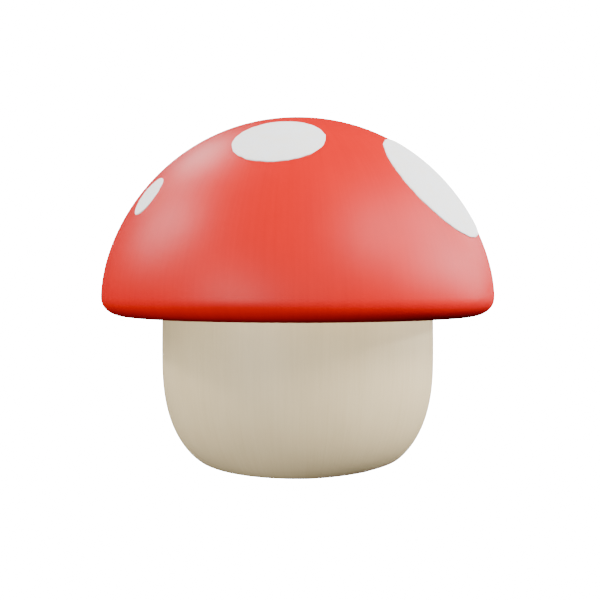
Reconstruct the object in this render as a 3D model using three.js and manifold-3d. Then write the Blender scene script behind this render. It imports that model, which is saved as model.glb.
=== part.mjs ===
// Fly agaric mushroom: a domed red cap over crowded gills, carried by a stout pale stem, with flat
// white warts on the cap, the remains of the veil that covered the young mushroom.
// Millimetres, +Z up. The mushroom stands on z = 0, its stem centred on the Z axis, front towards -Y.
import * as THREE from "three";
import { mergeVertices } from "three/addons/utils/BufferGeometryUtils.js";
import Module from "manifold-3d";

const wasm = await Module();
wasm.setup();

// Cap: the dome rises from its widest level, and the inrolled rim curls under below it
const CAP_RADIUS = 60;
const CAP_TOP_Z = 105.4;
const CAP_WIDEST_Z = 50.8;
const DOME_HEIGHT = CAP_TOP_Z - CAP_WIDEST_Z;
const DOME_POWER_ACROSS = 2.09;
const DOME_POWER_UP = 1.75;
const RIM_WIDTH = 8;
const RIM_HEIGHT = 5.9;
const RIM_POWER = 2.2;
const RIM_Z = CAP_WIDEST_Z - RIM_HEIGHT;
const LIP_DROP = 1.4; // how far the inner edge of the rim rounds up before the gills start

// Underside of the cap: a shallow hollow, roofed by flesh, that the gills and the stem fill
const HOLLOW_RADIUS = CAP_RADIUS - RIM_WIDTH - 1;
const ROOF_Z = 55.5;
const ROOF_CORNER = 3;

// Stem: widest below the cap, rounding in to a flat foot. The foot was cut a little askew, so right
// of CUT_START_X its underside rises off the ground.
const STEM_RADIUS = 42;
const STEM_TOP_RADIUS = 41.5;
const STEM_WIDEST_Z = 33.8;
const FOOT_RADIUS = 29;
const STEM_POWER_ACROSS = 1.42;
const STEM_POWER_UP = 2.72;
const CUT_START_X = 4;
const CUT_SLOPE = 0.052;
const JOINT_GAP = 0.3;

// Gills: long ones reach the stem, and a short one stands between each two
const GILL_COUNT = 72;
const GILL_THICKNESS = 0.8;
const GILL_PLATE = 1.2;
const GILL_SINK = 0.6;
const GILL_EDGE_Z = RIM_Z + 1.2;
const GILL_INNER = STEM_TOP_RADIUS + 1;
const GILL_OUTER = HOLLOW_RADIUS - 0.6;
const SHORT_GILL_SHARE = 0.55;
// The free edge of a gill from the stem to the rim, as shares of its reach and of its depth
const GILL_EDGE = [
  [0, 0.55],
  [0.3, 0.9],
  [0.65, 1],
  [1, 0.75],
];

// Warts: thin pads that follow the dome. Azimuth is in degrees from the front towards +X, ring is
// the distance of the centre from the axis, and across and along are the half widths.
const WART_HEIGHT = 0.8;
const WART_GAP = 0.25;
const WART_STEP = 4.5;
const WART_FLAT = 0.86; // share of the plan that the pad's top covers
const WART_CROWN = 0.12; // how much lower, as a share of the height, the top ends than it starts
const WART_EDGE = [
  [0.96, 0.66],
  [1, 0.3],
  [0.98, 0],
]; // the rounded edge, as shares of the plan and of the height
const FRONT_WARTS = [
  { azimuth: -8.6, ring: 34.8, across: 12.8, along: 12.1 },
  { azimuth: -57.9, ring: 49.6, across: 5.4, along: 6 },
  { azimuth: 61.5, ring: 45.9, across: 19.4, along: 19.4 },
];
// Around the back they stand low and high by turns, each a little shorter than it is wide
const BACK_START = 116;
const BACK_STEP = 34;
const BACK_RINGS = [51, 31];
const BACK_RADII = [8.5, 11.5, 7, 13, 6];
const BACK_SQUASH = 0.95;

const AROUND_CAP = 72;
const AROUND_STEM = 60;
const DOME_STEPS = 16;
const RIM_STEPS = 7;
const STEM_STEPS = 11;
const DROP_ROUNDS = 12;

const COLOURS = { cap: 0xdc3a20, gills: 0xe9e0cc, stem: 0xc6bca7, wart: 0xe6e6e3 };

function finish(colour, roughness) {
  return new THREE.MeshStandardMaterial({ color: colour, roughness, metalness: 0 });
}

function mesh(name, geometry, material) {
  const made = new THREE.Mesh(geometry, material);
  made.name = name;
  return made;
}

// A closed body of revolution about Z from a profile of [radius, height] points
function revolve(profile, around) {
  const points = profile.map(([radius, height]) => new THREE.Vector2(radius, height));
  return new THREE.LatheGeometry(points, around).rotateX(Math.PI / 2);
}

// A quarter of a superellipse from [reach, 0] to [0, rise], as [across, up] offsets
function quarter(reach, rise, powerAcross, powerUp, steps) {
  const points = [];
  for (let i = 0; i <= steps; i++) {
    const t = (i / steps) * (Math.PI / 2);
    const across = i === steps ? 0 : Math.cos(t) ** (2 / powerAcross);
    points.push([reach * across, rise * Math.sin(t) ** (2 / powerUp)]);
  }
  return points;
}

function toSolid(geometry) {
  const bare = geometry.index ? geometry.toNonIndexed() : geometry.clone();
  bare.deleteAttribute("normal");
  bare.deleteAttribute("uv");
  const merged = mergeVertices(bare, 1e-4);
  return new wasm.Manifold(
    new wasm.Mesh({
      numProp: 3,
      vertProperties: new Float32Array(merged.attributes.position.array),
      triVerts: new Uint32Array(merged.index.array),
    }),
  );
}

function toGeometry(solid) {
  const { vertProperties, triVerts } = solid.getMesh();
  const geometry = new THREE.BufferGeometry();
  geometry.setAttribute("position", new THREE.BufferAttribute(vertProperties, 3));
  geometry.setIndex(new THREE.BufferAttribute(triVerts, 1));
  geometry.computeVertexNormals();
  return geometry;
}

// Cap

function capGeometry() {
  const dome = quarter(CAP_RADIUS, DOME_HEIGHT, DOME_POWER_ACROSS, DOME_POWER_UP, DOME_STEPS).map(
    ([across, up]) => [across, CAP_WIDEST_Z + up],
  );
  const rim = quarter(RIM_WIDTH, RIM_HEIGHT, RIM_POWER, RIM_POWER, RIM_STEPS)
    .map(([across, down]) => [CAP_RADIUS - RIM_WIDTH + across, CAP_WIDEST_Z - down])
    .reverse();
  const underside = [
    [0, ROOF_Z],
    [HOLLOW_RADIUS - ROOF_CORNER, ROOF_Z],
    [HOLLOW_RADIUS, ROOF_Z - ROOF_CORNER],
    [HOLLOW_RADIUS, RIM_Z + LIP_DROP],
  ];
  return revolve([...underside, ...rim, ...dome.slice(1)], AROUND_CAP);
}

// Height of the dome's surface above its widest level, as a share of the dome's height
function domeShare(radius) {
  return (1 - (radius / CAP_RADIUS) ** DOME_POWER_ACROSS) ** (1 / DOME_POWER_UP);
}

// How far a point lies outside the dome, as a value that is 0 on its surface
function domeLevel(point) {
  const across = Math.hypot(point.x, point.y) / CAP_RADIUS;
  const up = Math.max((point.z - CAP_WIDEST_Z) / DOME_HEIGHT, 0);
  return across ** DOME_POWER_ACROSS + up ** DOME_POWER_UP - 1;
}

// How fast that value grows along X, Y and Z
function domeGradient(point) {
  const radius = Math.hypot(point.x, point.y);
  const up = Math.max((point.z - CAP_WIDEST_Z) / DOME_HEIGHT, 0);
  const outward =
    (DOME_POWER_ACROSS / CAP_RADIUS ** DOME_POWER_ACROSS) * radius ** (DOME_POWER_ACROSS - 2);
  const upward = (DOME_POWER_UP / DOME_HEIGHT) * up ** (DOME_POWER_UP - 1);
  return new THREE.Vector3(outward * point.x, outward * point.y, upward);
}

// Stem

function stemGeometry() {
  const below = quarter(
    STEM_RADIUS - FOOT_RADIUS,
    STEM_WIDEST_Z,
    STEM_POWER_ACROSS,
    STEM_POWER_UP,
    STEM_STEPS,
  )
    .map(([across, down]) => [FOOT_RADIUS + across, STEM_WIDEST_Z - down])
    .reverse();
  below[0][1] = 0;
  const top = ROOF_Z - JOINT_GAP;
  const middle = (STEM_WIDEST_Z + top) / 2;
  const profile = [
    [0, 0],
    ...below,
    [(STEM_RADIUS * 2 + STEM_TOP_RADIUS) / 3, middle],
    [STEM_TOP_RADIUS, top],
    [0, top],
  ];
  const cut = new THREE.BoxGeometry(2 * STEM_RADIUS, 4 * STEM_RADIUS, STEM_RADIUS)
    .translate(STEM_RADIUS, 0, -STEM_RADIUS / 2)
    .rotateY(-Math.atan(CUT_SLOPE))
    .translate(CUT_START_X, 0, 0);
  return toGeometry(toSolid(revolve(profile, AROUND_STEM)).subtract(toSolid(cut)));
}

// Gills

// One gill: a thin upright blade from the rim towards the stem, its free edge bellied downwards
function gillBlade(inner, angle) {
  const root = ROOF_Z - JOINT_GAP - GILL_PLATE + GILL_SINK;
  const depth = root - GILL_EDGE_Z;
  const reach = GILL_OUTER - inner;
  const edge = GILL_EDGE.map(
    ([out, down]) => new THREE.Vector2(inner + reach * out, root - depth * down),
  );
  const outline = new THREE.Shape([
    new THREE.Vector2(inner, root),
    ...edge,
    new THREE.Vector2(GILL_OUTER, root - ROOF_CORNER),
    new THREE.Vector2(GILL_OUTER - ROOF_CORNER, root),
  ]);
  const blade = new THREE.ExtrudeGeometry(outline, { depth: GILL_THICKNESS, bevelEnabled: false });
  return blade
    .rotateX(Math.PI / 2)
    .translate(0, GILL_THICKNESS / 2, 0)
    .rotateZ(angle);
}

function gillsGeometry() {
  const top = ROOF_Z - JOINT_GAP;
  const plateOuter = GILL_OUTER - ROOF_CORNER + GILL_PLATE;
  const plate = revolve(
    [
      [GILL_INNER, top - GILL_PLATE],
      [plateOuter, top - GILL_PLATE],
      [plateOuter - GILL_PLATE, top],
      [GILL_INNER, top],
      [GILL_INNER, top - GILL_PLATE],
    ],
    GILL_COUNT,
  );
  const shortInner = GILL_OUTER - (GILL_OUTER - GILL_INNER) * SHORT_GILL_SHARE;
  const turn = (2 * Math.PI) / GILL_COUNT;
  let solid = toSolid(plate);
  for (let i = 0; i < GILL_COUNT; i++) {
    solid = solid.add(toSolid(gillBlade(GILL_INNER, i * turn)));
    solid = solid.add(toSolid(gillBlade(shortInner, (i + 0.5) * turn)));
  }
  return toGeometry(solid);
}

// Warts

// The point of the dome under a point of a wart's flat plan, by Newton's method along a direction
function dropToDome(point, direction) {
  const found = point.clone();
  for (let i = 0; i < DROP_ROUNDS; i++) {
    found.addScaledVector(direction, -domeLevel(found) / domeGradient(found).dot(direction));
  }
  return found;
}

function wartGeometry({ azimuth, ring, across, along }) {
  const turn = THREE.MathUtils.degToRad(azimuth);
  const centre = new THREE.Vector3(
    ring * Math.sin(turn),
    -ring * Math.cos(turn),
    CAP_WIDEST_Z + DOME_HEIGHT * domeShare(ring),
  );
  const up = domeGradient(centre).normalize();
  const side = new THREE.Vector3(Math.cos(turn), Math.sin(turn), 0);
  const slope = up.clone().cross(side);
  const radius = Math.max(across, along);
  const rings = Math.ceil(radius / WART_STEP);
  const around = Math.max(16, Math.ceil((2 * Math.PI * radius) / WART_STEP));

  // Each layer is a share of the plan and a height over the dome, from the top's middle to the
  // underside's middle
  const layers = [];
  for (let i = 1; i <= rings; i++) {
    layers.push([(WART_FLAT * i) / rings, WART_HEIGHT * (1 - WART_CROWN * (i / rings) ** 2)]);
  }
  for (const [share, rise] of WART_EDGE) {
    layers.push([share, WART_HEIGHT * rise]);
  }
  for (let i = rings - 1; i >= 1; i--) {
    layers.push([i / rings, 0]);
  }

  const place = (share, angle, height) => {
    const plan = centre
      .clone()
      .addScaledVector(side, across * share * Math.cos(angle))
      .addScaledVector(slope, along * share * Math.sin(angle));
    const foot = dropToDome(plan, up);
    return foot.addScaledVector(domeGradient(foot).normalize(), WART_GAP + height);
  };
  const points = [place(0, 0, WART_HEIGHT)];
  for (const [share, height] of layers) {
    for (let k = 0; k < around; k++) {
      points.push(place(share, (k / around) * 2 * Math.PI, height));
    }
  }
  points.push(place(0, 0, 0));

  const index = [];
  const at = (layer, k) => 1 + layer * around + (k % around);
  const last = layers.length - 1;
  for (let k = 0; k < around; k++) {
    index.push(0, at(0, k), at(0, k + 1));
    for (let layer = 0; layer < last; layer++) {
      index.push(at(layer, k), at(layer + 1, k), at(layer + 1, k + 1));
      index.push(at(layer, k), at(layer + 1, k + 1), at(layer, k + 1));
    }
    index.push(at(last, k), points.length - 1, at(last, k + 1));
  }
  const geometry = new THREE.BufferGeometry().setFromPoints(points);
  geometry.setIndex(index);
  geometry.computeVertexNormals();
  return geometry;
}

function backWart(radius, i) {
  return {
    azimuth: BACK_START + i * BACK_STEP,
    ring: BACK_RINGS[i % BACK_RINGS.length],
    across: radius,
    along: radius * BACK_SQUASH,
  };
}

const mushroom = new THREE.Group();
mushroom.add(mesh("cap", capGeometry(), finish(COLOURS.cap, 0.45)));
mushroom.add(mesh("gills", gillsGeometry(), finish(COLOURS.gills, 0.85)));
mushroom.add(mesh("stem", stemGeometry(), finish(COLOURS.stem, 0.75)));
[...FRONT_WARTS, ...BACK_RADII.map(backWart)].forEach((wart, i) => {
  mushroom.add(mesh(`wart_${i + 1}`, wartGeometry(wart), finish(COLOURS.wart, 0.9)));
});

export default mushroom;
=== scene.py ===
from math import ceil, cos, pi, radians, sin, tau

import bpy
from bpy.props import FloatProperty, FloatVectorProperty, IntProperty, PointerProperty
from mathutils import Matrix, Vector


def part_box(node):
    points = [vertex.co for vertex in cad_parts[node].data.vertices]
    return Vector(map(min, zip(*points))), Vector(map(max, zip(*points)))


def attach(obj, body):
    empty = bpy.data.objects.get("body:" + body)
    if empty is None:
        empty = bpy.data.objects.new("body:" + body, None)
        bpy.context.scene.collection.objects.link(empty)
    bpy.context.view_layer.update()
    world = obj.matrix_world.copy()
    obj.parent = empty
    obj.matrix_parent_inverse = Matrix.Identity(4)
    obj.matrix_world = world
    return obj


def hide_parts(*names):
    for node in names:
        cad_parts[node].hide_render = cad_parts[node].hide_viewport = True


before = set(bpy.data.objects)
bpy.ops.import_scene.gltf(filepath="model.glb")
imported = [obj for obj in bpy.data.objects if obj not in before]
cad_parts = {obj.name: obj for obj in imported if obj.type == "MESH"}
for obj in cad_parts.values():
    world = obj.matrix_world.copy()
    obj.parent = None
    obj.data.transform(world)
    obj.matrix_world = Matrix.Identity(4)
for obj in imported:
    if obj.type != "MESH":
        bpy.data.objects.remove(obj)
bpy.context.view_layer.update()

bl_info = {
    "name": "Fly agaric mushroom",
    "version": (1, 0, 0),
    "blender": (4, 5, 0),
    "location": "View3D > Sidebar > Mushroom",
    "description": "Models a fly agaric with its gills and warts, and a plain studio round it",
    "category": "Add Mesh",
}

MM = 0.001

# The cap: its widest level, its inrolled rim and the hollow under it
CAP_LOW, CAP_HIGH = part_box("cap")
CAP_WIDEST = 50.8 * MM
RIM_WIDTH = 8 * MM
RIM_POWER = 2.2
LIP_DROP = 1.4 * MM
HOLLOW_MARGIN = 1 * MM
ROOF = 55.5 * MM
ROOF_CORNER = 3 * MM

# The stem: the fullness of its foot across and up, and the grain that its surface is rebuilt in
STEM_LOW, STEM_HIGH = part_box("stem")
FOOT_POWERS = (1.42, 2.72)
STEM_GRAIN = 0.8 * MM

# The gills: the level that they grow from, their distance from what is round them, the share of a
# long gill's reach that a short one has, and the free edge as shares of reach and depth
GILL_ROOT = ROOF - 1.2 * MM
GILL_STEM_GAP = 1 * MM
GILL_RIM_GAP = 0.6 * MM
GILL_ABOVE_RIM = 1.2 * MM
GILL_ROOT_SINK = 0.6 * MM
FLESH_ROOF_GAP = 0.3 * MM
FLESH_INSET_LOW = 1.8 * MM
FLESH_INSET_HIGH = 3 * MM
SHORT_GILL_SHARE = 0.55
GILL_EDGE = ((0, 0.5), (0.08, 0.68), (0.2, 0.84), (0.4, 0.96), (0.65, 1), (0.88, 0.93), (1, 0.8))

# The warts: how finely their ovals are divided, where they start above the skin, how deep they
# sit in it, how much of their thickness their edge is rounded by, and how long a tear is
WART_EDGE_STEP = 0.6 * MM
WART_EDGE_LEAST = 48
WART_RING_STEP = 1.2 * MM
WART_RINGS_LEAST = 4
WART_LIFT = 1 * MM
WART_SINK = 0.3 * MM
WART_ROUNDING = 0.7
TEAR_LENGTH = 2.5 * MM

MERGE_DISTANCE = 0.01 * MM
SLOPE_STEP = 0.05 * MM
SMOOTH_ANGLE = radians(40)
EDGE_ANGLE = radians(50)

# The stage: the lights' distance from the mushroom's middle, the floor, and the camera at the
# place, tilt and lens that fit the outline in the photograph
LIGHT_DISTANCE = 1.0
FLOOR_RADIUS = 4.0
CAMERA_PLACE = Vector((0.691, -260.9, 54.93)) * MM
CAMERA_PITCH = 0.0205
CAMERA_LENS = 50
CAMERA_SENSOR = 36
CAMERA_NEAREST = 10 * MM


def linear(hex_colour):
    """Turn an sRGB colour such as #c0ffee into linear red, green and blue."""
    shares = [int(hex_colour[i : i + 2], 16) / 255 for i in (1, 3, 5)]
    return tuple(s / 12.92 if s <= 0.04045 else ((s + 0.055) / 1.055) ** 2.4 for s in shares)


class MushroomSizes(bpy.types.PropertyGroup):
    """Sizes of the mushroom's pieces."""

    dome_power_across: FloatProperty(
        name="Dome fullness across",
        description="Power of the dome's curve in its radius: 2 is round, more is boxier",
        default=2.09,
    )
    dome_power_up: FloatProperty(
        name="Dome fullness up",
        description="Power of the dome's curve in its height: 2 is round, less is more pointed",
        default=1.75,
    )
    stem_radius: FloatProperty(
        name="Stem radius",
        description="Radius of the stem where it is widest",
        default=(STEM_HIGH.x - STEM_LOW.x) / 2,
        unit="LENGTH",
    )
    stem_top_radius: FloatProperty(
        name="Stem top radius",
        description="Radius of the stem where it enters the cap",
        default=41.5 * MM,
        unit="LENGTH",
    )
    stem_widest: FloatProperty(
        name="Stem widest level",
        description="Height at which the stem is widest",
        default=33.8 * MM,
        unit="LENGTH",
    )
    foot_radius: FloatProperty(
        name="Foot radius",
        description="Radius of the flat foot",
        default=29 * MM,
        unit="LENGTH",
    )
    foot_smoothing: IntProperty(
        name="Foot smoothing",
        description="How many times the stem is smoothed, which rounds the edge of the cut foot",
        default=4,
    )
    cut_start: FloatProperty(
        name="Cut start",
        description="Distance right of the axis from which the foot was cut askew",
        default=4 * MM,
        unit="LENGTH",
    )
    cut_angle: FloatProperty(
        name="Cut angle",
        description="Angle at which the foot rises there",
        default=radians(3),
        subtype="ANGLE",
    )
    gill_count: IntProperty(
        name="Long gills",
        description="Number of gills that reach the stem; as many short ones stand between them",
        default=144,
    )
    gill_thickness: FloatProperty(
        name="Gill thickness",
        description="Thickness of one gill",
        default=0.45 * MM,
        unit="LENGTH",
    )
    wart_thickness: FloatProperty(
        name="Wart thickness",
        description="How far the warts stand out of the cap",
        default=0.3 * MM,
        unit="LENGTH",
    )
    wart_raggedness: FloatProperty(
        name="Wart raggedness",
        description="How much the torn edge of a wart strays from its oval",
        default=0.7 * MM,
        unit="LENGTH",
    )


class MushroomColours(bpy.types.PropertyGroup):
    """Colours of the mushroom's tissues."""

    skin: FloatVectorProperty(
        name="Cap skin",
        description="Scarlet of the cap's skin",
        default=linear("#bb0100"),
        subtype="COLOR",
        min=0,
        max=1,
    )
    skin_deep: FloatVectorProperty(
        name="Cap skin, deep",
        description="Deeper red of the skin's streaks",
        default=linear("#aa0000"),
        subtype="COLOR",
        min=0,
        max=1,
    )
    stem: FloatVectorProperty(
        name="Stem",
        description="Cream of the stem's flesh",
        default=linear("#ccb990"),
        subtype="COLOR",
        min=0,
        max=1,
    )
    stem_fibre: FloatVectorProperty(
        name="Stem fibres",
        description="Darker cream between the stem's fibres",
        default=linear("#c1ad83"),
        subtype="COLOR",
        min=0,
        max=1,
    )
    gill: FloatVectorProperty(
        name="Gills",
        description="Pale cream of the gills",
        default=linear("#e9e0cc"),
        subtype="COLOR",
        min=0,
        max=1,
    )
    wart: FloatVectorProperty(
        name="Warts",
        description="White of the veil's remains",
        default=linear("#e3e6ea"),
        subtype="COLOR",
        min=0,
        max=1,
    )


# Each wart as azimuth in degrees from the front towards +X, distance of its centre from the axis,
# and half widths across and along, in millimetres
FRONT_WARTS = ((-8.6, 35.2, 12.8, 11.9), (-56.5, 49.9, 4.9, 6.4), (60.3, 46.3, 19.3, 18.9))
BACK_START = 116
BACK_STEP = 34
BACK_RINGS = (51, 31)
BACK_RADII = (8.5, 11.5, 7, 13, 6)
BACK_SQUASH = 0.95
BACK_WARTS = tuple(
    (BACK_START + i * BACK_STEP, BACK_RINGS[i % 2], radius, radius * BACK_SQUASH)
    for i, radius in enumerate(BACK_RADII)
)


def deselect_all():
    """Leave edit mode and deselect every object, as the frame's nodes come in selected."""
    if bpy.context.object and bpy.context.object.mode != "OBJECT":
        bpy.ops.object.mode_set(mode="OBJECT")
    bpy.ops.object.select_all(action="DESELECT")


def only(piece):
    """Select one piece alone and make it the active one."""
    deselect_all()
    piece.select_set(True)
    bpy.context.view_layer.objects.active = piece


def add_modifier(piece, kind, **settings):
    """Add a modifier with its settings and apply it to the piece."""
    only(piece)
    modifier = piece.modifiers.new(kind.title(), kind)
    for name, value in settings.items():
        setattr(modifier, name, value)
    bpy.ops.object.modifier_apply(modifier=modifier.name)


def add_node(tree, kind, inputs=None, **settings):
    """Add a node with its settings, and fill its inputs with values or with other outputs. A Mix
    node's sockets go by number: input 0 is its factor, 2 and 3 are numbers with output 0, and 6
    and 7 are colours with output 2."""
    node = tree.nodes.new(kind)
    for name, value in settings.items():
        setattr(node, name, value)
    for socket, value in (inputs or {}).items():
        if isinstance(value, bpy.types.NodeSocket):
            tree.links.new(value, node.inputs[socket])
        else:
            node.inputs[socket].default_value = value
    return node


def new_material(name):
    """Make an empty node material and return it with its node tree."""
    material = bpy.data.materials.new(name)
    material.use_nodes = True
    material.node_tree.nodes.clear()
    return material, material.node_tree


def curve_quarter(reach, rise, power_across, power_up, steps):
    """Points (across, up) of a superellipse's quarter from (reach, 0) to (0, rise)."""
    points = []
    for i in range(steps + 1):
        t = i / steps * pi / 2
        across = 0 if i == steps else cos(t) ** (2 / power_across)
        points.append((reach * across, rise * sin(t) ** (2 / power_up)))
    return points


def turn_outline(name, outline, steps):
    """Extrude one point along an outline of (radius, height), then spin it about the Z axis."""
    deselect_all()
    (radius, height), rest = outline[0], outline[1:]
    bpy.ops.mesh.primitive_plane_add(size=MM, location=(radius, 0, height))
    piece = bpy.context.object
    piece.name = piece.data.name = name
    bpy.ops.object.transform_apply()
    bpy.ops.object.mode_set(mode="EDIT")
    bpy.ops.mesh.select_all(action="SELECT")
    bpy.ops.mesh.merge(type="CENTER")
    for r, z in rest:
        step = (r - radius, 0, z - height)
        bpy.ops.mesh.extrude_vertices_move(TRANSFORM_OT_translate={"value": step})
        radius, height = r, z
    bpy.ops.mesh.select_all(action="SELECT")
    bpy.ops.mesh.spin(steps=steps, angle=tau, center=(0, 0, 0), axis=(0, 0, 1))
    bpy.ops.mesh.select_all(action="SELECT")
    bpy.ops.mesh.remove_doubles(threshold=MERGE_DISTANCE)
    bpy.ops.mesh.normals_make_consistent(inside=False)
    bpy.ops.object.mode_set(mode="OBJECT")
    return piece


def finish_piece(piece, node, material):
    """Dress a piece, let it stand for its node and ride on the mushroom's one body."""
    piece.data.materials.clear()
    piece.data.materials.append(material)
    only(piece)
    bpy.ops.object.shade_smooth_by_angle(angle=SMOOTH_ANGLE)
    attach(piece, "root")
    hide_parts(node)


def dome_height(sizes, radius):
    """Height of the dome's surface at a distance from the axis."""
    share = radius / CAP_HIGH.x
    rise = (1 - share**sizes.dome_power_across) ** (1 / sizes.dome_power_up)
    return CAP_WIDEST + (CAP_HIGH.z - CAP_WIDEST) * rise


def dome_normal(sizes, radius, azimuth):
    """Outward direction of the dome's surface at a distance from the axis."""
    rise = dome_height(sizes, radius + SLOPE_STEP) - dome_height(sizes, radius - SLOPE_STEP)
    slope = rise / (2 * SLOPE_STEP)
    return Vector((-slope * sin(azimuth), slope * cos(azimuth), 1)).normalized()


class MUSHROOM_OT_cap(bpy.types.Operator):
    """Add the red cap with its inrolled rim and the hollow under it"""

    bl_idname = "mushroom.add_cap"
    bl_label = "Cap"

    def execute(self, context):
        sizes = context.scene.mushroom_sizes
        radius = CAP_HIGH.x
        dome = curve_quarter(
            radius,
            CAP_HIGH.z - CAP_WIDEST,
            sizes.dome_power_across,
            sizes.dome_power_up,
            steps=72,
        )
        rim = curve_quarter(RIM_WIDTH, CAP_WIDEST - CAP_LOW.z, RIM_POWER, RIM_POWER, steps=24)
        hollow = radius - RIM_WIDTH - HOLLOW_MARGIN
        underside = [
            (0, ROOF),
            (hollow - ROOF_CORNER, ROOF),
            (hollow, ROOF - ROOF_CORNER),
            (hollow, CAP_LOW.z + LIP_DROP),
        ]
        outline = [
            *underside,
            *((radius - RIM_WIDTH + across, CAP_WIDEST - down) for across, down in rim[::-1]),
            *((across, CAP_WIDEST + up) for across, up in dome[1:]),
        ]
        cap = turn_outline("cap_flesh", outline, steps=240)
        finish_piece(cap, "cap", cap_skin(context.scene.mushroom_colours))
        return {"FINISHED"}


class MUSHROOM_OT_stem(bpy.types.Operator):
    """Add the stout stem, cut a little askew at its foot"""

    bl_idname = "mushroom.add_stem"
    bl_label = "Stem"

    def execute(self, context):
        sizes = context.scene.mushroom_sizes
        below = curve_quarter(
            sizes.stem_radius - sizes.foot_radius,
            sizes.stem_widest,
            *FOOT_POWERS,
            steps=48,
        )
        side = [(sizes.foot_radius + x, sizes.stem_widest - down) for x, down in below[::-1]]
        outline = [(0, 0), *side, *stem_neck(sizes, steps=8), (0, STEM_HIGH.z)]
        stem = turn_outline("stem_flesh", outline, steps=200)
        bpy.ops.object.mode_set(mode="EDIT")
        bpy.ops.mesh.select_all(action="SELECT")
        bpy.ops.mesh.bisect(
            plane_co=(sizes.cut_start, 0, 0),
            plane_no=(sin(sizes.cut_angle), 0, -cos(sizes.cut_angle)),
            use_fill=True,
            clear_outer=True,
        )
        bpy.ops.object.mode_set(mode="OBJECT")
        add_modifier(stem, "REMESH", mode="VOXEL", voxel_size=STEM_GRAIN)
        add_modifier(stem, "SMOOTH", factor=0.5, iterations=sizes.foot_smoothing)
        finish_piece(stem, "stem", stem_flesh(context.scene.mushroom_colours))
        return {"FINISHED"}


def stem_neck(sizes, steps):
    """Outline points of the stem from its widest level up into the cap."""
    points = []
    for i in range(1, steps + 1):
        share = i / steps
        radius = sizes.stem_radius + (sizes.stem_top_radius - sizes.stem_radius) * share**2
        points.append((radius, sizes.stem_widest + (STEM_HIGH.z - sizes.stem_widest) * share))
    return points


class MUSHROOM_OT_gills(bpy.types.Operator):
    """Add the crowded gills, long and short by turns, and the flesh that they grow from"""

    bl_idname = "mushroom.add_gills"
    bl_label = "Gills"

    def execute(self, context):
        sizes = context.scene.mushroom_sizes
        inner = sizes.stem_top_radius + GILL_STEM_GAP
        outer = CAP_HIGH.x - RIM_WIDTH - HOLLOW_MARGIN - GILL_RIM_GAP
        top = ROOF - FLESH_ROOF_GAP
        flesh = turn_outline(
            "gill_flesh",
            [
                (inner, GILL_ROOT),
                (outer - FLESH_INSET_LOW, GILL_ROOT),
                (outer - FLESH_INSET_HIGH, top),
                (inner, top),
                (inner, GILL_ROOT),
            ],
            steps=144,
        )
        long_gill = make_gill(sizes, "gill_long", inner, outer)
        short_inner = outer - (outer - inner) * SHORT_GILL_SHARE
        short_gill = make_gill(sizes, "gill_short", short_inner, outer)
        turn = tau / sizes.gill_count
        copies = []
        for i in range(sizes.gill_count):
            copies.append(copy_turned(long_gill, i * turn))
            copies.append(copy_turned(short_gill, (i + 0.5) * turn))
        for pattern in (long_gill, short_gill):
            bpy.data.objects.remove(pattern)
        only(flesh)
        for gill in copies:
            gill.select_set(True)
        bpy.ops.object.join()
        finish_piece(flesh, "gills", gill_flesh(context.scene.mushroom_colours))
        return {"FINISHED"}


def make_gill(sizes, name, inner, outer):
    """One gill along +X: its free edge drawn point by point, raised to the root and thickened."""
    lowest = CAP_LOW.z + GILL_ABOVE_RIM
    root = GILL_ROOT + GILL_ROOT_SINK
    depth = root - lowest
    reach = outer - inner
    points = [(inner + reach * out, root - depth * down) for out, down in GILL_EDGE]
    deselect_all()
    (x, z), rest = points[0], points[1:]
    bpy.ops.mesh.primitive_plane_add(size=MM, location=(x, 0, z))
    gill = bpy.context.object
    gill.name = gill.data.name = name
    bpy.ops.object.transform_apply()
    bpy.ops.object.mode_set(mode="EDIT")
    bpy.ops.mesh.select_all(action="SELECT")
    bpy.ops.mesh.merge(type="CENTER")
    for px, pz in rest:
        bpy.ops.mesh.extrude_vertices_move(TRANSFORM_OT_translate={"value": (px - x, 0, pz - z)})
        x, z = px, pz
    bpy.ops.mesh.select_all(action="SELECT")
    bpy.ops.mesh.extrude_edges_move(TRANSFORM_OT_translate={"value": (0, 0, depth)})
    bpy.ops.transform.resize(value=(1, 1, 0), center_override=(0, 0, root))
    bpy.ops.object.mode_set(mode="OBJECT")
    add_modifier(gill, "SOLIDIFY", thickness=sizes.gill_thickness, offset=0)
    return gill


def copy_turned(pattern, angle):
    """A copy of a piece with its own mesh, turned about the Z axis."""
    copy = pattern.copy()
    copy.data = pattern.data.copy()
    copy.data.transform(Matrix.Rotation(angle, 4, "Z"))
    bpy.context.collection.objects.link(copy)
    return copy


class MUSHROOM_OT_warts(bpy.types.Operator):
    """Add the flat white warts, the remains of the veil, each lying on the cap"""

    bl_idname = "mushroom.add_warts"
    bl_label = "Warts"

    def execute(self, context):
        sizes = context.scene.mushroom_sizes
        material = veil_remnant(context.scene.mushroom_colours)
        for number, (azimuth, ring, across, along) in enumerate(FRONT_WARTS + BACK_WARTS, 1):
            wart = make_wart(sizes, number, radians(azimuth), ring * MM, across * MM, along * MM)
            finish_piece(wart, f"wart_{number}", material)
        return {"FINISHED"}


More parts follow.
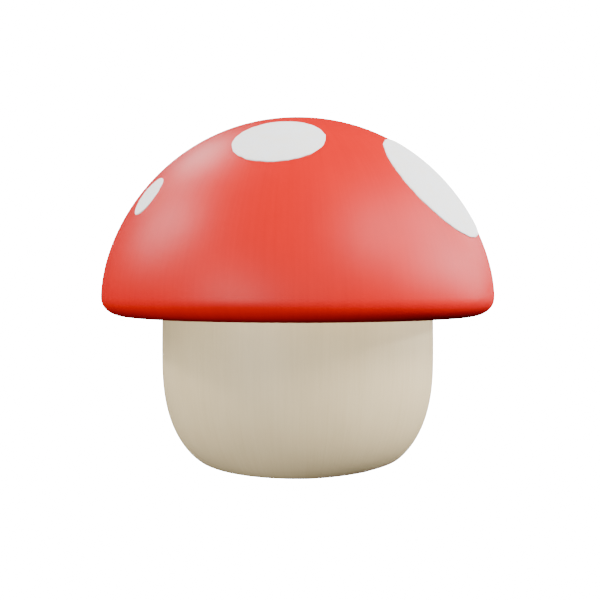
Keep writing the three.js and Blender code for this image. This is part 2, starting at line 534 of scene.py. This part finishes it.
def make_wart(sizes, number, azimuth, ring, across, along):
    """One wart: an oval inset ring by ring, laid on the cap, thickened and rounded at its edge."""
    deselect_all()
    around = max(WART_EDGE_LEAST, ceil(tau * across / WART_EDGE_STEP))
    bpy.ops.mesh.primitive_circle_add(vertices=around, radius=across, fill_type="NGON")
    wart = bpy.context.object
    wart.name = wart.data.name = f"wart_pad_{number}"
    bpy.ops.object.mode_set(mode="EDIT")
    bpy.ops.mesh.select_all(action="SELECT")
    rings = max(WART_RINGS_LEAST, ceil(across / WART_RING_STEP))
    for _ in range(rings):
        bpy.ops.mesh.inset(thickness=across / (rings + 1), use_even_offset=False)
    bpy.ops.mesh.poke()
    bpy.ops.mesh.select_all(action="SELECT")
    bpy.ops.transform.resize(value=(1, along / across, 1), center_override=(0, 0, 0))
    bpy.ops.object.mode_set(mode="OBJECT")

    up = dome_normal(sizes, ring, azimuth)
    side = Vector((cos(azimuth), sin(azimuth), 0))
    centre = Vector((ring * sin(azimuth), -ring * cos(azimuth), dome_height(sizes, ring)))
    turned = Matrix((side, up.cross(side), up)).transposed().to_4x4()
    wart.matrix_world = Matrix.Translation(centre + up * WART_LIFT) @ turned
    bpy.context.view_layer.update()
    tears = bpy.data.textures.new(f"tears_{number}", "CLOUDS")
    tears.cloud_type = "COLOR"
    tears.noise_scale = TEAR_LENGTH
    add_modifier(
        wart,
        "DISPLACE",
        texture=tears,
        texture_coords="GLOBAL",
        direction="RGB_TO_XYZ",
        strength=sizes.wart_raggedness,
    )
    add_modifier(
        wart,
        "SHRINKWRAP",
        target=bpy.data.objects["cap_flesh"],
        wrap_method="PROJECT",
        use_project_z=True,
        use_positive_direction=False,
        use_negative_direction=True,
    )
    bpy.ops.object.transform_apply()

    thickness = sizes.wart_thickness + WART_SINK
    proud_share = 1 - 2 * WART_SINK / thickness
    add_modifier(wart, "SOLIDIFY", thickness=thickness, offset=proud_share)
    add_modifier(
        wart,
        "BEVEL",
        limit_method="ANGLE",
        angle_limit=EDGE_ANGLE,
        width=sizes.wart_thickness * WART_ROUNDING,
        segments=4,
    )
    return wart


def growth_lines(tree, width, radius, length):
    """Coordinates whose unit is a line's width round the axis and a line's length up it."""
    place = add_node(tree, "ShaderNodeTexCoord").outputs["Object"]
    level = add_node(tree, "ShaderNodeVectorMath", {0: place, 1: (1, 1, 0)}, operation="MULTIPLY")
    outward = add_node(tree, "ShaderNodeVectorMath", {0: level.outputs[0]}, operation="NORMALIZE")
    around = add_node(
        tree,
        "ShaderNodeVectorMath",
        {0: outward.outputs[0], "Scale": radius / width},
        operation="SCALE",
    )
    up = add_node(
        tree,
        "ShaderNodeVectorMath",
        {0: place, 1: (0, 0, 1 / length)},
        operation="MULTIPLY",
    )
    both = add_node(
        tree,
        "ShaderNodeVectorMath",
        {0: around.outputs[0], 1: up.outputs[0]},
        operation="ADD",
    )
    return both.outputs[0]


def speckle(tree, size, detail=2.0, roughness=0.5):
    """Even noise over the surface whose grains are of one real size."""
    place = add_node(tree, "ShaderNodeTexCoord").outputs["Object"]
    noise = add_node(
        tree,
        "ShaderNodeTexNoise",
        {"Vector": place, "Scale": 1 / size, "Detail": detail, "Roughness": roughness},
    )
    return noise.outputs["Fac"]


def cap_skin(colours):
    """Fly agaric cuticle: a thin smooth skin, slightly tacky when fresh, with fine radial fibrils.
    It gives a broad soft sheen, a scarlet that deepens in faint streaks, and a fine pitted grain.
    Real fibrils are about 0.1 mm wide and the grain is finer: both are drawn coarser, to show."""
    material, tree = new_material("Fly agaric skin, smooth scarlet cuticle")
    lines = growth_lines(tree, width=1.1 * MM, radius=60 * MM, length=26 * MM)
    streaks = add_node(
        tree,
        "ShaderNodeTexNoise",
        {"Vector": lines, "Scale": 1.0, "Detail": 3.0, "Roughness": 0.55},
    )
    patches = speckle(tree, 14 * MM, detail=3)
    both = add_node(
        tree,
        "ShaderNodeMix",
        {0: 0.5, 2: streaks.outputs["Fac"], 3: patches},
    )
    depth = add_node(
        tree,
        "ShaderNodeMapRange",
        {"Value": both.outputs[0], "From Min": 0.35, "From Max": 0.65, "To Max": 0.4},
    )
    colour = add_node(
        tree,
        "ShaderNodeMix",
        {0: depth.outputs[0], 6: (*colours.skin, 1), 7: (*colours.skin_deep, 1)},
        data_type="RGBA",
    )
    pits = speckle(tree, 0.55 * MM, detail=2)
    roughness = add_node(
        tree,
        "ShaderNodeMapRange",
        {"Value": pits, "To Min": 0.42, "To Max": 0.52},
    )
    pitted = add_node(
        tree,
        "ShaderNodeBump",
        {"Strength": 0.25, "Distance": 0.04 * MM, "Height": pits},
    )
    fibrils = add_node(
        tree,
        "ShaderNodeBump",
        {
            "Strength": 0.3,
            "Distance": 0.06 * MM,
            "Height": streaks.outputs["Fac"],
            "Normal": pitted.outputs[0],
        },
    )
    skin = add_node(
        tree,
        "ShaderNodeBsdfPrincipled",
        {
            "Base Color": colour.outputs[2],
            "Roughness": roughness.outputs[0],
            "IOR": 1.5,
            "Specular IOR Level": 0.165,
            "Normal": fibrils.outputs[0],
        },
    )
    add_node(tree, "ShaderNodeOutputMaterial", {"Surface": skin.outputs[0]})
    return material


def stem_flesh(colours):
    """Mushroom stem: dry, firm cream flesh whose fibres run its length, with a satin bloom.
    It gives a matte cream with fine upright streaks and slight hollows between them.
    Real fibres are 0.1 to 0.2 mm wide: they are drawn as bundles of 0.9 mm, to show."""
    material, tree = new_material("Mushroom stem, dry fibrous cream flesh")
    lines = growth_lines(tree, width=0.9 * MM, radius=42 * MM, length=24 * MM)
    fibres = add_node(
        tree,
        "ShaderNodeTexNoise",
        {"Vector": lines, "Scale": 1.0, "Detail": 3.0, "Roughness": 0.6},
    )
    cloud = speckle(tree, 16 * MM, detail=3)
    both = add_node(tree, "ShaderNodeMix", {0: 0.45, 2: fibres.outputs["Fac"], 3: cloud})
    depth = add_node(
        tree,
        "ShaderNodeMapRange",
        {"Value": both.outputs[0], "From Min": 0.35, "From Max": 0.65, "To Max": 0.6},
    )
    colour = add_node(
        tree,
        "ShaderNodeMix",
        {0: depth.outputs[0], 6: (*colours.stem, 1), 7: (*colours.stem_fibre, 1)},
        data_type="RGBA",
    )
    grain = add_node(
        tree,
        "ShaderNodeBump",
        {"Strength": 0.3, "Distance": 0.05 * MM, "Height": speckle(tree, 0.5 * MM)},
    )
    ribbed = add_node(
        tree,
        "ShaderNodeBump",
        {
            "Strength": 0.4,
            "Distance": 0.1 * MM,
            "Height": fibres.outputs["Fac"],
            "Normal": grain.outputs[0],
        },
    )
    flesh = add_node(
        tree,
        "ShaderNodeBsdfPrincipled",
        {
            "Base Color": colour.outputs[2],
            "Roughness": 0.56,
            "IOR": 1.5,
            "Normal": ribbed.outputs[0],
        },
    )
    add_node(tree, "ShaderNodeOutputMaterial", {"Surface": flesh.outputs[0]})
    return material


def gill_flesh(colours):
    """Mushroom gills: thin brittle blades of pale flesh, dusted with white spores.
    They give a dry matte cream, a little uneven from blade to blade.
    Spores are a hundredth of a millimetre: their dust is drawn as a grain of 0.4 mm, to show."""
    material, tree = new_material("Mushroom gills, dry cream blades")
    lines = growth_lines(tree, width=1.0 * MM, radius=46 * MM, length=30 * MM)
    blades = add_node(tree, "ShaderNodeTexNoise", {"Vector": lines, "Scale": 1.0, "Detail": 1.0})
    colour = add_node(
        tree,
        "ShaderNodeMix",
        {0: blades.outputs["Fac"], 6: (*colours.gill, 1), 7: (*colours.stem, 1)},
        data_type="RGBA",
    )
    grain = add_node(
        tree,
        "ShaderNodeBump",
        {"Strength": 0.3, "Distance": 0.04 * MM, "Height": speckle(tree, 0.4 * MM)},
    )
    flesh = add_node(
        tree,
        "ShaderNodeBsdfPrincipled",
        {
            "Base Color": colour.outputs[2],
            "Roughness": 0.8,
            "IOR": 1.4,
            "Normal": grain.outputs[0],
        },
    )
    add_node(tree, "ShaderNodeOutputMaterial", {"Surface": flesh.outputs[0]})
    return material


def veil_remnant(colours):
    """Universal veil: the felted white skin that wrapped the young mushroom, torn into flat pads.
    It gives a dry matt white with a soft felted grain and faintly warmer hollows.
    Real felt is of threads 0.01 mm thick: it is drawn as tufts of 0.9 mm, to show."""
    material, tree = new_material("Veil remnant, felted white pad")
    felt = speckle(tree, 0.9 * MM, detail=4, roughness=0.65)
    cloud = speckle(tree, 5 * MM, detail=3)
    both = add_node(tree, "ShaderNodeMix", {0: 0.5, 2: felt, 3: cloud})
    depth = add_node(
        tree,
        "ShaderNodeMapRange",
        {"Value": both.outputs[0], "From Min": 0.35, "From Max": 0.65, "To Max": 0.5},
    )
    colour = add_node(
        tree,
        "ShaderNodeMix",
        {0: depth.outputs[0], 6: (*colours.wart, 1), 7: (*colours.gill, 1)},
        data_type="RGBA",
    )
    matted = add_node(
        tree,
        "ShaderNodeBump",
        {"Strength": 0.6, "Distance": 0.2 * MM, "Height": felt},
    )
    pad = add_node(
        tree,
        "ShaderNodeBsdfPrincipled",
        {
            "Base Color": colour.outputs[2],
            "Roughness": 0.85,
            "IOR": 1.5,
            "Specular IOR Level": 0.15,
            "Normal": matted.outputs[0],
        },
    )
    add_node(tree, "ShaderNodeOutputMaterial", {"Surface": pad.outputs[0]})
    return material


# Each light as its name, azimuth and elevation in degrees, width in metres, power in watts and
# whether the cap shades the stem from it
SOFTBOXES = (
    ("softbox_front", 10, 7, 0.3, 1.9, False),
    ("softbox_front_left", -24, 3, 0.3, 6.5, False),
    ("softbox_left_low", -41, 9, 0.3, 6.5, False),
    ("softbox_left", -97, 32, 0.45, 8.8, True),
    ("spot_left", -86, 39, 0.1, 5, True),
    ("softbox_front_right", 45, 37, 0.3, 8.2, True),
    ("softbox_right_high", 59, 45, 0.3, 6.6, True),
    ("softbox_right_middle", 75, 20, 0.3, 8.2, False),
    ("spot_right", 96.5, 16.7, 0.07, 5.5, True),
    ("softbox_right", 94, 35, 0.4, 7.7, False),
    ("softbox_right_low", 112, 8, 0.3, 3.3, False),
    ("softbox_back_right", 130, 20, 0.4, 2.4, True),
    ("softbox_back_left", -138, 47, 0.3, 6, True),
)
# The floor lies just under the foot, and is as bright as the backdrop, so that both look white
FLOOR_GAP = 0.1 * MM
FILL_LIGHT = 0.03
BACKDROP_LIGHT = 20.0


def direction(azimuth, elevation):
    """Direction from the mushroom to a place round it; azimuth 0 is the front, 90 the right."""
    a, e = radians(azimuth), radians(elevation)
    return Vector((sin(a) * cos(e), -cos(a) * cos(e), sin(e)))


def stop_bounces():
    """Keep the stem's light off the rim, and the cap's red off the stem, for clean colours."""
    for name in ("cap_flesh", "stem_flesh"):
        piece = bpy.data.objects[name]
        piece.visible_diffuse = False
        piece.visible_glossy = False


def add_softbox(name, azimuth, elevation, size, power, cap_shades):
    """Add a round soft light that looks at the middle of the mushroom."""
    target = Vector((0, 0, CAP_HIGH.z / 2))
    way = direction(azimuth, elevation)
    bpy.ops.object.light_add(type="AREA", location=target + way * LIGHT_DISTANCE)
    light = bpy.context.object
    light.name = light.data.name = name
    light.rotation_mode = "QUATERNION"
    light.rotation_quaternion = way.to_track_quat("Z", "Y")
    light.data.shape = "DISK"
    light.data.size = size
    light.data.energy = power
    light.visible_camera = False
    if not cap_shades:
        blockers = bpy.data.collections.new(f"{name}_blockers")
        blockers.objects.link(bpy.data.objects["stem_flesh"])
        light.light_linking.blocker_collection = blockers


class MUSHROOM_OT_stage(bpy.types.Operator):
    """Add the pale floor, the soft lights and the camera"""

    bl_idname = "mushroom.add_stage"
    bl_label = "Stage"

    def execute(self, context):
        deselect_all()
        add_floor()
        light_world(context.scene)
        stop_bounces()
        for softbox in SOFTBOXES:
            add_softbox(*softbox)
        bpy.ops.object.camera_add(location=CAMERA_PLACE, rotation=(pi / 2 - CAMERA_PITCH, 0, 0))
        camera = context.object
        camera.data.lens = CAMERA_LENS
        camera.data.sensor_width = CAMERA_SENSOR
        camera.data.clip_start = CAMERA_NEAREST
        context.scene.camera = camera
        return {"FINISHED"}


def add_floor():
    """A plain pale floor that fills the view, but throws no light back on the mushroom."""
    bpy.ops.mesh.primitive_circle_add(
        vertices=96, radius=FLOOR_RADIUS, fill_type="NGON", location=(0, 0, -FLOOR_GAP)
    )
    floor = bpy.context.object
    floor.name = floor.data.name = "floor"
    material, tree = new_material("Studio floor, white card")
    card = add_node(
        tree,
        "ShaderNodeBsdfPrincipled",
        {
            "Base Color": (0.9, 0.9, 0.9, 1),
            "Roughness": 1.0,
            "Emission Color": (1, 1, 1, 1),
            "Emission Strength": BACKDROP_LIGHT,
        },
    )
    add_node(tree, "ShaderNodeOutputMaterial", {"Surface": card.outputs[0]})
    floor.data.materials.append(material)
    floor.visible_diffuse = False
    floor.visible_glossy = False
    floor.visible_shadow = False


def light_world(scene):
    """A white backdrop for the camera, and a dim even light for the mushroom."""
    world = bpy.data.worlds.new("studio")
    world.use_nodes = True
    tree = world.node_tree
    tree.nodes.clear()
    seen = add_node(tree, "ShaderNodeLightPath").outputs["Is Camera Ray"]
    fill = add_node(tree, "ShaderNodeBackground", {"Color": (1, 1, 1, 1), "Strength": FILL_LIGHT})
    backdrop = add_node(
        tree,
        "ShaderNodeBackground",
        {"Color": (1, 1, 1, 1), "Strength": BACKDROP_LIGHT},
    )
    mixed = add_node(
        tree,
        "ShaderNodeMixShader",
        {0: seen, 1: fill.outputs[0], 2: backdrop.outputs[0]},
    )
    add_node(tree, "ShaderNodeOutputWorld", {"Surface": mixed.outputs[0]})
    scene.world = world
    world.cycles_visibility.glossy = False


class MUSHROOM_PT_panel(bpy.types.Panel):
    """Sizes and colours of the mushroom, and a button for each piece"""

    bl_idname = "MUSHROOM_PT_panel"
    bl_label = "Fly agaric mushroom"
    bl_space_type = "VIEW_3D"
    bl_region_type = "UI"
    bl_category = "Mushroom"

    def draw(self, context):
        for settings in (context.scene.mushroom_sizes, context.scene.mushroom_colours):
            box = self.layout.box()
            for name in settings.bl_rna.properties.keys():
                if name not in ("rna_type", "name"):
                    box.prop(settings, name)
        for operator in OPERATORS:
            self.layout.operator(operator.bl_idname)


OPERATORS = (
    MUSHROOM_OT_cap,
    MUSHROOM_OT_gills,
    MUSHROOM_OT_stem,
    MUSHROOM_OT_warts,
    MUSHROOM_OT_stage,
)
CLASSES = (MushroomSizes, MushroomColours, *OPERATORS, MUSHROOM_PT_panel)


def register():
    for kind in CLASSES:
        bpy.utils.register_class(kind)
    bpy.types.Scene.mushroom_sizes = PointerProperty(type=MushroomSizes)
    bpy.types.Scene.mushroom_colours = PointerProperty(type=MushroomColours)


def unregister():
    del bpy.types.Scene.mushroom_colours
    del bpy.types.Scene.mushroom_sizes
    for kind in reversed(CLASSES):
        bpy.utils.unregister_class(kind)


def main():
    """Build the mushroom and its stage."""
    register()
    bpy.ops.mushroom.add_cap()
    bpy.ops.mushroom.add_gills()
    bpy.ops.mushroom.add_stem()
    bpy.ops.mushroom.add_warts()
    bpy.ops.mushroom.add_stage()


if __name__ == "__main__":
    main()
